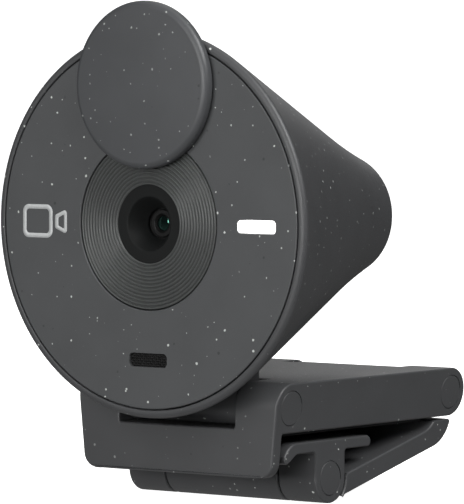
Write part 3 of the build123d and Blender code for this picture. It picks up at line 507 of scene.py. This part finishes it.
shell = turned("rear_shell", shellProfile())
neckOpening = block((-5.65, tiltPin[0] - 2.05, 0), (5.65, tiltPin[0] + 2.05, lensZ - 15))
combine(shell, "DIFFERENCE", neckOpening)
fit(shell, "head", "speckled_shell", shellPlastic, "rear_housing")
print("cone shell made,", len(shell.data.polygons), "faces")

plate = {
    "radius": 25.2,
    "inner": 11.8,
    "thick": 1.75,
    "edge": 0.14,
    "slotWidth": 6.46,
    "slotHeight": 1.86,
    "slotRound": 0.58,
}
slotPlaces = {"light": (18.43, 0), "microphone": (0, -18.55)}


def slotOutline(place, grow=0.0):
    # rounded rectangle round a place on the face, wider all round by grow
    x, z = place[0], lensZ + place[1]
    w, h, r = plate["slotWidth"] / 2 + grow, plate["slotHeight"] / 2 + grow, plate["slotRound"] + grow
    return roundedLine([(x - w, z - h, r), (x + w, z - h, r), (x + w, z + h, r), (x - w, z + h, r)])


faceplate = turned(
    "face_cover",
    roundedLine(
        [
            (plate["inner"], 0, plate["edge"]),
            (plate["radius"], 0, plate["edge"]),
            (plate["radius"], plate["thick"], 0.05),
            (plate["inner"], plate["thick"], 0.05),
        ]
    ),
)
for place in slotPlaces.values():
    combine(faceplate, "DIFFERENCE", prism("slot", slotOutline(place), "y", faceY - 1, faceY + 3))
soften(faceplate, 0.07, 3, 50)
fit(faceplate, "head", "face_shell", facePlastic, "face_plate")
print("face cover made")

ring = {
    "outer": 11.6,
    "bezel": 5.4,
    "back": 3.0,
    "flange": 13.0,
    "front": 0.1,
    "ridges": 12,
    "pitch": 0.5,
    "height": 0.25,
}


def ringProfile():
    # Ridges: depth = front + height times (1 - cos(2 pi ridge)) / 2, flattened on top by a power.
    outermost = ring["outer"] - 0.1
    radius = np.linspace(outermost, outermost - ring["ridges"] * ring["pitch"], ring["ridges"] * 10 + 1)
    wave = (1 - np.cos(2 * math.pi * (ring["outer"] - 0.1 - radius) / ring["pitch"])) / 2
    ridges = np.stack([radius, ring["front"] + ring["height"] * wave**1.4], axis=1)
    after = [
        (ring["bezel"], ring["front"] + 0.02),
        (ring["bezel"], ring["back"]),
        (ring["flange"], ring["back"]),
        (ring["flange"], 1.75),
        (ring["outer"], 1.75),
        (ring["outer"], ring["front"] + 0.06),
        (ring["outer"] - 0.02, ring["front"] + 0.015),
        (ring["outer"] - 0.06, ring["front"]),
    ]
    return np.concatenate([ridges, after])


lensRing = turned("ridged_ring", ringProfile())
fit(lensRing, "head", "ring_metal", ringFinish, "lens_ring")

bezel = turned(
    "lens_funnel",
    roundedLine(
        [
            (5.4, 0.25, 0.12),
            (5.4, 5.05, 0.05),
            (3.2, 5.05, 0.05),
            (3.2, 3.1, 0.05),
            (2.1, 3.1, 0.05),
            (2.1, 2.8, 0.12),
            (3.7, 0.25, 0.3),
        ],
        12,
    ),
    steps=192,
)
fit(bezel, "head", "black_plastic", bezelFinish, "lens_bezel")

barrel = turned(
    "lens_sleeve",
    roundedLine(
        [
            (1.3, 3.1, 0.1),
            (1.85, 3.1, 0.1),
            (1.95, 3.3, 0.05),
            (2.1, 3.3, 0.05),
            (2.2, 3.1, 0.05),
            (3.2, 3.1, 0.05),
            (3.2, 9.6, 0.05),
            (2.4, 9.6, 0.05),
            (2.4, 3.45, 0.05),
            (0.95, 3.45, 0.03),
        ],
        6,
    ),
    steps=128,
)
fit(barrel, "head", "black_plastic", barrelFinish, "lens_barrel")


def glassProfile(front=3.45, thick=1.6, sag=0.45, backSag=0.2, edge=2.4):
    # both faces are arcs through the edge and the middle: depth = sag times (radius / edge) squared
    radius = np.linspace(0, edge, 25)
    frontFace = np.stack([radius, front + sag * (radius / edge) ** 2], axis=1)
    backFace = np.stack([radius[::-1], front + thick - backSag * (radius[::-1] / edge) ** 2], axis=1)
    return np.concatenate([frontFace, backFace])


frontGlass = turned("front_glass", glassProfile(), steps=96)
fit(frontGlass, "head", "lens_glass", glassCoated, "lens_front_element")
print("lens made")

guide = prism("guide", slotOutline(slotPlaces["light"], -0.08), "y", faceY, faceY + 3.2)
flange = block(
    (slotPlaces["light"][0] - 3.85, faceY + 1.75, lensZ - 1.55),
    (slotPlaces["light"][0] + 3.85, faceY + 2.25, lensZ + 1.55),
)
combine(guide, "UNION", flange)
guide.name = "status_bar"
soften(guide, 0.08, 3)
fit(guide, "head", "light_guide", lampWhite, "led_light_guide")

weave = {"pitch": 0.34, "wire": 0.085, "lift": 0.05, "across": 260, "up": 80, "depth": 0.35, "thick": 0.3}


def wovenMesh():
    # Height of the front = the higher of two sets of round wires. A wire's line rises and falls as
    # lift times cos(pi along / pitch), with every next wire half a wave out of step.
    x = np.linspace(-plate["slotWidth"] / 2, plate["slotWidth"] / 2, weave["across"])[:, None]
    z = np.linspace(-plate["slotHeight"] / 2, plate["slotHeight"] / 2, weave["up"])[None, :]

    def wires(over, along):
        number = np.round(over / weave["pitch"])
        away = np.abs(over - number * weave["pitch"])
        line = weave["lift"] * np.cos(math.pi * along / weave["pitch"] + math.pi * number)
        crest = np.sqrt(np.maximum(weave["wire"] ** 2 - away**2, 0)) + line
        return np.where(away < weave["wire"], crest, -0.12)

    height = np.maximum(wires(x, z), wires(z, x))
    depth = faceY + weave["depth"] + 0.12 - height
    level = z + lensZ + slotPlaces["microphone"][1]
    front = np.stack([x + 0 * z, depth, level + 0 * x], axis=2)
    back = front.copy()
    back[:, :, 1] = faceY + weave["depth"] + weave["thick"]
    rows, columns = height.shape
    count = rows * columns
    index = np.arange(count).reshape(rows, columns)
    rim = np.concatenate([index[0, :], index[1:, -1], index[-1, -2::-1], index[-2:0:-1, 0]])
    sides = np.stack([rim, np.roll(rim, -1), np.roll(rim, -1) + count, rim + count], axis=1)
    sheet = gridQuads(rows, columns, False, False)
    points = np.concatenate([front.reshape(-1, 3), back.reshape(-1, 3)])
    return points, [sheet, sheet[:, ::-1] + count, sides]


micMesh = makePiece("microphone_weave", *wovenMesh())
fit(micMesh, "head", "black_plastic", meshFinish, "mic_mesh")

gland = turned(
    "cable_boot",
    roundedLine(
        [
            (1.75, 42.4, 0.1),
            (3.8, 42.4, 0.1),
            (3.8, 44.4, 0.05),
            (3.0, 44.4, 0.05),
            (3.0, 46.2, 0.03),
            (3.8, 46.2, 0.05),
            (3.4, 46.8, 0.25),
            (1.75, 46.8, 0.2),
        ],
        6,
    ),
    steps=96,
)
fit(gland, "head", "rubber", rubberFinish, "cable_gland")
print("status bar, microphone weave and cable boot made")


def strokeRing(name, outer, inner, depth, thick):
    # the band between two closed outlines with the same number of points, raised by thick
    front = faceY - depth
    loops = [(outer, front), (outer, front + thick), (inner, front + thick), (inner, front)]
    points = np.stack([np.insert(np.asarray(line), 1, y, axis=1) for line, y in loops])
    return makePiece(name, points.reshape(-1, 3), [gridQuads(4, len(outer))])


def markOutline(x, z, halfWidth, halfHeight, radius, taper=0.0):
    return roundedLine(
        [
            (x - halfWidth, z - halfHeight + taper, radius),
            (x + halfWidth, z - halfHeight, radius),
            (x + halfWidth, z + halfHeight, radius),
            (x - halfWidth, z + halfHeight - taper, radius),
        ]
    )


mark = {"x": -18.2, "width": 5.3, "height": 4.6, "round": 1.0, "line": 0.62, "rise": 0.015}
markZ = lensZ
body = strokeRing(
    "printed_mark",
    markOutline(mark["x"] - 1.2, markZ, mark["width"] / 2, mark["height"] / 2, mark["round"]),
    markOutline(
        mark["x"] - 1.2,
        markZ,
        mark["width"] / 2 - mark["line"],
        mark["height"] / 2 - mark["line"],
        mark["round"] - mark["line"] + 0.15,
    ),
    mark["rise"],
    0.03,
)
horn = strokeRing(
    "printed_mark_horn",
    markOutline(mark["x"] + 2.95, markZ, 1.05, 1.75, 0.4, 0.85),
    markOutline(mark["x"] + 3.0, markZ, 0.5, 1.0, 0.15, 0.45),
    mark["rise"],
    0.03,
)
for piece in (body, horn):
    fit(piece, "head", "face_shell", printFinish)

# ---- shutter

shutter = {
    "radius": 11.41,
    "centre": 18.89,
    "gap": 0.35,
    "thick": 1.65,
    "round": 0.9,
    "backRound": 0.15,
    "crown": 0.2,
}


def shutterProfile():
    # Rounded disc whose front bulges by crown times (1 - (radius / edge) squared).
    line = roundedLine(
        [
            (0.0, -shutter["gap"], 0.01),
            (shutter["radius"], -shutter["gap"], shutter["backRound"]),
            (shutter["radius"], -shutter["gap"] - shutter["thick"] + shutter["crown"], shutter["round"]),
            (0.0, -shutter["gap"] - shutter["thick"] + shutter["crown"], 0.01),
        ],
        14,
    )
    back = line[(line[:, 0] > 0.2) & (line[:, 1] > -shutter["gap"] - shutter["thick"] / 2)]
    front = line[(line[:, 0] > 0.2) & (line[:, 1] <= -shutter["gap"] - shutter["thick"] / 2)]
    flat = shutter["radius"] - shutter["round"] - 0.06
    inner = np.linspace(flat - 0.2, 0, 24)
    dome = np.stack([inner, np.full(24, -shutter["gap"] - shutter["thick"] + shutter["crown"])], axis=1)
    front = np.concatenate([front, dome])
    front[:, 1] -= shutter["crown"] * np.clip(1 - (front[:, 0] / flat) ** 2, 0, 1)
    return np.concatenate([[(0.0, -shutter["gap"])], back, front])


shutterDisc = turned("shutter_cover", shutterProfile(), lensCentre + np.array([0, 0, shutter["centre"]]))
fit(shutterDisc, "shutter", "speckled_shell", shutterPlastic, "shutter_disc")
print("shutter made")

# ---- clip

clip = {
    "halfWidth": 17.5,
    "draft": 0.1,
    "front": -20.25,
    "rear": 24.7,
    "bottom": 0.5,
    "top": 7.4,
    "lipThick": 1.85,
    "lipBottom": -5.5,
    "lipCorner": 2.1,
    "earInside": 10.0,
    "slotFloor": 0.6,
    "slotDepth": 8.25,
    "rearSlotDepth": 7.2,
    "wall": 1.7,
    "base": 1.2,
    "rebate": 0.8,
    "soft": 0.3,
}
pins = {"radius": 1.25, "bush": 1.74, "cap": 2.36, "capGap": 0.08, "capThick": 0.9}


def boreForPin(piece, pin, depth):
    # a through hole for the pin and a flat recess for its cap at each side, cut last to keep their edges crisp
    combine(piece, "DIFFERENCE", pinHole(pin, pins["radius"], -30, 30, 48))
    for low, high in ((-30, -depth), (depth, 30)):
        combine(piece, "DIFFERENCE", pinHole(pin, pins["cap"] + pins["capGap"], low, high))
    piece.data.set_sharp_from_angle(angle=math.radians(40))
    even = piece.modifiers.new("even_faces", "WEIGHTED_NORMAL")
    even.keep_sharp = True


def sideAt(z):
    return clip["halfWidth"] - clip["draft"] * (clip["top"] - z)


armRound = (clip["top"] - clip["bottom"]) / 2
bracket = prism(
    "clip_body",
    roundedLine(
        [
            (clip["front"], clip["lipBottom"], 0.02),
            (clip["front"] + clip["lipThick"], clip["lipBottom"], 0.02),
            (clip["front"] + clip["lipThick"], clip["bottom"], 0.3),
            (clip["rear"], clip["bottom"], armRound - 0.06),
            (clip["rear"], clip["top"], armRound - 0.06),
            (clip["front"], clip["top"], armRound),
        ],
        20,
    ),
    "x",
    -19,
    19,
)
envelope = prism(
    "envelope",
    roundedLine(
        [
            (-sideAt(clip["lipBottom"]), clip["lipBottom"], clip["lipCorner"]),
            (sideAt(clip["lipBottom"]), clip["lipBottom"], clip["lipCorner"]),
            (sideAt(clip["top"] + 1), clip["top"] + 1, 0.01),
            (-sideAt(clip["top"] + 1), clip["top"] + 1, 0.01),
        ],
        12,
    ),
    "y",
    clip["front"] - 1,
    clip["rear"] + 1,
)
combine(bracket, "INTERSECT", envelope)
frontSlot = block(
    (-clip["earInside"], clip["front"] - 5, clip["bottom"] + clip["slotFloor"]),
    (clip["earInside"], clip["front"] + clip["slotDepth"], 20),
)
rearSlot = block(
    (-clip["earInside"], clip["rear"] - clip["rearSlotDepth"], -20),
    (clip["earInside"], clip["rear"] + 5, 20),
)
roomLow = clip["front"] + clip["slotDepth"] + clip["wall"]
roomHigh = clip["rear"] - clip["rearSlotDepth"] - clip["wall"]
roomHalf = sideAt(clip["bottom"]) - clip["wall"] - clip["rebate"]
room = block((-roomHalf, roomLow, -1), (roomHalf, roomHigh, clip["top"] - clip["wall"]))
rebate = block(
    (-roomHalf - clip["rebate"], roomLow - clip["rebate"], -1),
    (roomHalf + clip["rebate"], roomHigh + clip["rebate"], clip["bottom"] + clip["base"]),
)
combine(bracket, "DIFFERENCE", frontSlot, rearSlot, room, rebate)
soften(bracket, clip["soft"])
settle(bracket)
capDepth = sideAt(tiltPin[1]) - pins["capThick"]
for pin in (tiltPin, legPin):
    boreForPin(bracket, pin, capDepth)
fit(bracket, "bracket", "speckled_shell", shellPlastic, "clip_bracket")
print("clip made,", len(bracket.data.polygons), "faces")


def capPair(name, pin, inner, outer, draft):
    # Two round caps: profile (radius, x) turned about X. The outer face leans by draft for each mm of height.
    profile = roundedLine(
        [(0, inner, 0.005), (pins["cap"], inner, 0.03), (pins["cap"], outer, 0.12), (0, outer, 0.005)], 6
    )
    profile = profile[profile[:, 0] > 0.02]
    profile = np.concatenate([[(0.0, inner)], profile, [(0.0, outer)]])
    steps = 96
    angle = np.arange(steps) * 2 * math.pi / steps
    radius = profile[:, :1]
    y = pin[0] + radius * np.cos(angle)
    z = pin[1] + radius * np.sin(angle)
    lean = draft * (z - pin[1]) * (profile[:, 1:] > (inner + outer) / 2)
    x = profile[:, 1:] + lean
    right = np.stack([x, y, z], axis=2).reshape(-1, 3)
    left = right * [-1, 1, 1]
    quads = gridQuads(len(profile), steps, closeRows=False)
    return makePiece(name, np.concatenate([right, left]), [quads, quads[:, ::-1] + len(right)])


tiltCaps = capPair("tilt_caps", tiltPin, capDepth, sideAt(tiltPin[1]) - 0.02, clip["draft"])
fit(tiltCaps, "bracket", "speckled_shell", shellPlastic, "tilt_pin_caps")
legCaps = capPair("leg_caps", legPin, capDepth, sideAt(legPin[1]) - 0.02, clip["draft"])
fit(legCaps, "bracket", "speckled_shell", shellPlastic, "leg_pin_caps")

# ---- neck

neck = {
    "radius": 2.55,
    "half": 9.8,
    "stemX": 5.6,
    "stemY": 2.0,
    "flangeX": 9.5,
    "flangeY": 3.5,
    "flange": 1.3,
}
neckLow, neckHigh = edgesOf("tilt_neck")
landZ = neckHigh[2] - neck["flange"]


def neckOutline():
    # half circle under the pin, then straight sides up into the head
    angle = np.linspace(math.pi, 2 * math.pi, 41)
    y, radius = tiltPin[0], neck["radius"]
    low = np.stack([y + radius * np.cos(angle), tiltPin[1] + radius * np.sin(angle)], axis=1)
    return np.concatenate([low, [(y + radius, landZ), (y - radius, landZ)]])


neckPiece = prism("tilt_riser", neckOutline(), "x", -neck["half"], neck["half"])
coneSolid = turned(
    "cone",
    [(0, 0.0), (head["faceRadius"], 0.0), (head["waistRadius"], head["waistDepth"]), (0, head["waistDepth"])],
    steps=256,
)
combine(neckPiece, "DIFFERENCE", coneSolid)
stem = block(
    (-neck["stemX"], tiltPin[0] - neck["stemY"], tiltPin[1]),
    (neck["stemX"], tiltPin[0] + neck["stemY"], landZ + 0.5),
)
flange = block(
    (-neck["flangeX"], tiltPin[0] - neck["flangeY"], landZ),
    (neck["flangeX"], tiltPin[0] + neck["flangeY"], landZ + neck["flange"]),
)
combine(neckPiece, "UNION", stem, flange)
combine(neckPiece, "DIFFERENCE", pinHole(tiltPin, pins["bush"], -30, 30, 64))
soften(neckPiece, 0.12, 3)
fit(neckPiece, "head", "speckled_shell", shellPlastic, "tilt_neck")
print("neck made")

# ---- leg

leg = {
    "half": 16.4,
    "thick": 2.75,
    "slope": 13.5,
    "tipGap": 0.45,
    "footRound": 3.45,
    "knuckle": 3.2,
    "turnGap": 0.3,
    "outer": 3.25,
    "outerRun": 25.0,
    "innerRun": 23.0,
    "tipFront": 2.95,
    "tipRear": 1.1,
    "webFront": 2.6,
    "soft": 0.3,
}
tipTop = clip["bottom"] - leg["tipGap"]


def legSpot(along, across):
    # a point measured along the leg's slope from the foot pin, and across it
    angle = math.radians(leg["slope"])
    return (
        footPin[0] + along * math.cos(angle) - across * math.sin(angle),
        footPin[1] + along * math.sin(angle) + across * math.cos(angle),
    )


def legOutline():
    along = (math.cos(math.radians(leg["slope"])), math.sin(math.radians(leg["slope"])))
    heelEnd = (legPin[0] + leg["tipRear"], tipTop - 0.3)
    heel = tangentArc(legSpot(leg["outerRun"], -leg["outer"]), along, heelEnd, 20)
    throat = tangentArc(
        legSpot(leg["innerRun"], leg["thick"] - leg["outer"]), along, (legPin[0] - leg["tipFront"], tipTop), 20
    )
    return np.concatenate(
        [
            [legSpot(0, -leg["outer"])],
            heel,
            [(legPin[0] + leg["tipRear"] - 0.3, tipTop)],
            throat[::-1],
            [legSpot(0, leg["thick"] - leg["outer"])],
        ]
    )


legPlate = prism("folding_leg", legOutline(), "x", -leg["half"], leg["half"])
for low, high in ((-30, -neck["half"]), (neck["half"], 30)):
    combine(legPlate, "DIFFERENCE", pinHole(footPin, leg["footRound"] + leg["turnGap"], low, high, 128))
web = block(
    (-neck["half"], legPin[0] - leg["webFront"], tipTop - 0.5),
    (neck["half"], legPin[0] + leg["tipRear"] - 0.4, legPin[1]),
)
combine(
    legPlate,
    "UNION",
    pinHole(footPin, leg["footRound"], -neck["half"], neck["half"], 128),
    web,
    pinHole(legPin, leg["knuckle"], -neck["half"], neck["half"], 128),
)
for pin in (footPin, legPin):
    combine(legPlate, "DIFFERENCE", pinHole(pin, pins["bush"], -30, 30, 64))
soften(legPlate, leg["soft"])
fit(legPlate, "leg", "speckled_shell", shellPlastic, "rear_leg")
print("leg made")

# ---- foot

foot = {
    "gap": 0.98,
    "thick": 1.55,
    "front": 7.65,
    "rear": 9.65,
    "reach": 2.95,
    "shoulder": 1.9,
    "drop": 2.8,
    "padDepth": 0.5,
    "padMargin": 1.5,
    "soft": 0.28,
}
flangeTop = -foot["gap"]
flangeBottom = flangeTop - foot["thick"]
hookY = footPin[0] - foot["front"]
footHalf = leg["half"]


def footOutline():
    # flange with a hooked front end, over two ears that end in half circles round the pin
    shoulder = (hookY - foot["reach"], flangeTop - foot["shoulder"])
    crown = tangentArc((hookY, flangeTop), (-1, 0), shoulder, 14)
    tip = hookY - foot["reach"]
    angle = np.linspace(0, math.pi, 49)
    around = leg["footRound"] * np.stack([np.cos(angle), -np.sin(angle)], axis=1)
    ear = np.array(footPin) + around
    rear = footPin[0] + foot["rear"]
    return np.concatenate(
        [
            crown,
            [
                (tip + 0.1, flangeTop - foot["drop"] + 0.3),
                (tip + 0.35, flangeTop - foot["drop"]),
                (tip + 0.75, flangeTop - foot["drop"] + 0.02),
                (tip + 1.45, flangeTop - foot["drop"] + 0.35),
                (hookY - 0.3, flangeBottom - 0.12),
                (hookY + 0.1, flangeBottom),
                (footPin[0] - leg["footRound"] - 0.35, flangeBottom),
                (footPin[0] - leg["footRound"] - 0.1, flangeBottom - 0.1),
                (footPin[0] - leg["footRound"], flangeBottom - 0.35),
            ],
            ear[::-1],
            [
                (footPin[0] + leg["footRound"], flangeBottom - 0.35),
                (footPin[0] + leg["footRound"] + 0.1, flangeBottom - 0.1),
                (footPin[0] + leg["footRound"] + 0.35, flangeBottom),
                (rear - 0.4, flangeBottom),
                (rear, flangeBottom + 0.5),
                (rear - 0.15, flangeTop - 0.35),
                (rear - 0.75, flangeTop),
            ],
        ]
    )


footPiece = prism("swing_foot", footOutline(), "x", -footHalf, footHalf)
gapCut = block(
    (-clip["earInside"], footPin[0] - 1.1 * leg["footRound"], 3 * footPin[1]),
    (clip["earInside"], footPin[0] + 1.1 * leg["footRound"], flangeBottom),
)
padLow, padHigh = edgesOf("foot_pad")
recess = prism(
    "recess",
    markOutline(0, (padLow[1] + padHigh[1]) / 2, padHigh[0] + 0.05, (padHigh[1] - padLow[1]) / 2 + 0.05, 0.6),
    "z",
    flangeTop - foot["padDepth"],
    flangeTop + 3,
)
combine(footPiece, "DIFFERENCE", gapCut, recess)
soften(footPiece, foot["soft"])
settle(footPiece)
footCapDepth = footHalf - pins["capThick"]
boreForPin(footPiece, footPin, footCapDepth)
fit(footPiece, "foot", "speckled_shell", shellPlastic, "foot")
footCaps = capPair("foot_caps", footPin, footCapDepth, footHalf - 0.02, 0.0)
fit(footCaps, "foot", "speckled_shell", shellPlastic, "foot_pin_caps")
print("foot made")

# ---- rubber pads


def padPiece(name, node, axis, body):
    # rounded rectangle that fills the node's box, with softened edges
    low, high = edgesOf(node)
    keep = [i for i in range(3) if i != "xyz".index(axis)]
    middle, half = (low + high)[keep] / 2, (high - low)[keep] / 2
    outline = markOutline(middle[0], middle[1], half[0], half[1], 0.8)
    pad = prism(name, outline, axis, low["xyz".index(axis)], high["xyz".index(axis)])
    soften(pad, 0.12, 3)
    return fit(pad, body, "rubber", rubberFinish, node)


padPiece("arm_grip", "arm_pad", "z", "bracket")
padPiece("lip_grip", "lip_pad", "y", "bracket")
padPiece("foot_grip", "foot_pad", "z", "foot")
print("pads made")

# ---- stage, light and camera

stage = {"flat": 0.9, "rise": 0.6, "wall": 1.6}


def stageBowl():
    # level floor that curves up into a wall all round: radius r, height h along a quarter circle
    angle = np.linspace(0, math.pi / 2, 24)
    flat = np.linspace(0, stage["flat"], 8)[:-1]
    curved = stage["flat"] + stage["rise"] * np.sin(angle)
    radius = np.concatenate([flat, curved, [stage["flat"] + stage["rise"]]])
    height = np.concatenate([0 * flat, stage["rise"] * (1 - np.cos(angle)), [stage["wall"]]])
    turn = np.arange(96) * 2 * math.pi / 96
    points = np.stack(
        [radius[:, None] * np.cos(turn), radius[:, None] * np.sin(turn), height[:, None] + 0 * turn], axis=2
    ).reshape(-1, 3)
    points[:, 2] += cadBox[0][2]
    return makePiece("studio_floor", points / mm, [gridQuads(len(radius), 96, closeRows=False)])


floor = stageBowl()
floorPaint, tree = newMaterial("pale_floor")
finishShader(
    tree,
    Base_Color=(0.85, 0.85, 0.85, 1),
    Roughness=0.9,
    Emission_Color=(1, 1, 1, 1),
    Emission_Strength=1.0,
)
floor.data.materials.append(floorPaint)
floor.visible_diffuse = False
floor.visible_glossy = False
floor.visible_shadow = False

light = {
    "below": 0.46,
    "above": 0.03,
    "front_band": ((0.05, -0.85, 0.1), (0.9, 0.16), 4.6),
    "key_front": ((0.02, -0.8, 0.42), (0.6, 0.5), 2.2),
    "front_right": ((0.35, -0.88, 0.1), (0.2, 0.5), 0.85),
    "top": ((0.0, 0.05, 0.85), (0.9, 0.9), 2.7),
    "high_right": ((0.7, -0.1, 0.7), (0.5, 0.5), 11.3),
    "high_back": ((-0.4, 0.7, 0.4), (0.5, 0.4), 0.7),
}
world = bpy.data.worlds.new("studio")
scene.world = world
world.use_nodes = True
sky = world.node_tree
direction = addNode(sky, "TexCoord").outputs["Generated"]
upward = addNode(sky, "SeparateXYZ", {0: direction}).outputs[2]
glow = addNode(
    sky,
    "MapRange",
    {"Value": upward, "From Min": -1.0, "From Max": 0.0, "To Min": light["below"], "To Max": light["above"]},
)
sky.nodes["Background"].inputs[0].default_value = (1, 1, 1, 1)
sky.links.new(glow.outputs[0], sky.nodes["Background"].inputs[1])


def softLight(name, place, aim, size, power, tint=(1, 1, 1)):
    lamp = bpy.data.lights.new(name, "AREA")
    lamp.shape = "RECTANGLE"
    lamp.size, lamp.size_y = size
    lamp.energy = power
    lamp.color = tint
    made = bpy.data.objects.new(name, lamp)
    scene.collection.objects.link(made)
    z = np.array(place, float) - np.array(aim, float)
    z /= np.linalg.norm(z)
    x = np.cross([0, 0, 1], z) if abs(z[2]) < 0.99 else np.array([1.0, 0, 0])
    x /= np.linalg.norm(x)
    y = np.cross(z, x)
    made.matrix_world = Matrix([[x[i], y[i], z[i], place[i]] for i in range(3)] + [[0, 0, 0, 1]])
    made.visible_camera = False
    return made


aim = (0, -0.01, 0.025)
for name in ("front_band", "key_front", "front_right", "top", "high_right", "high_back"):
    place, size, power = light[name]
    softLight(name, place, aim, size, power)

view = {
    "from": (0.371184, -0.468716 + faceY * mm, 0.022380 + lensZ * mm),
    "right": (0.795693, 0.605700, 0.000136),
    "up": (-0.026610, 0.034733, 0.999042),
    "back": (0.605115, -0.794935, 0.043755),
    "lens": 314.6,
}
cameraData = bpy.data.cameras.new("camera")
cameraData.lens = view["lens"]
cameraData.sensor_width = 36
cameraData.clip_start = 0.01
cameraData.clip_end = 20
camera = bpy.data.objects.new("camera", cameraData)
scene.collection.objects.link(camera)
rows = [[view["right"][i], view["up"][i], view["back"][i], view["from"][i]] for i in range(3)]
camera.matrix_world = Matrix(rows + [[0, 0, 0, 1]])
scene.camera = camera
scene.view_settings.view_transform = "Standard"
print("stage, light and camera set")
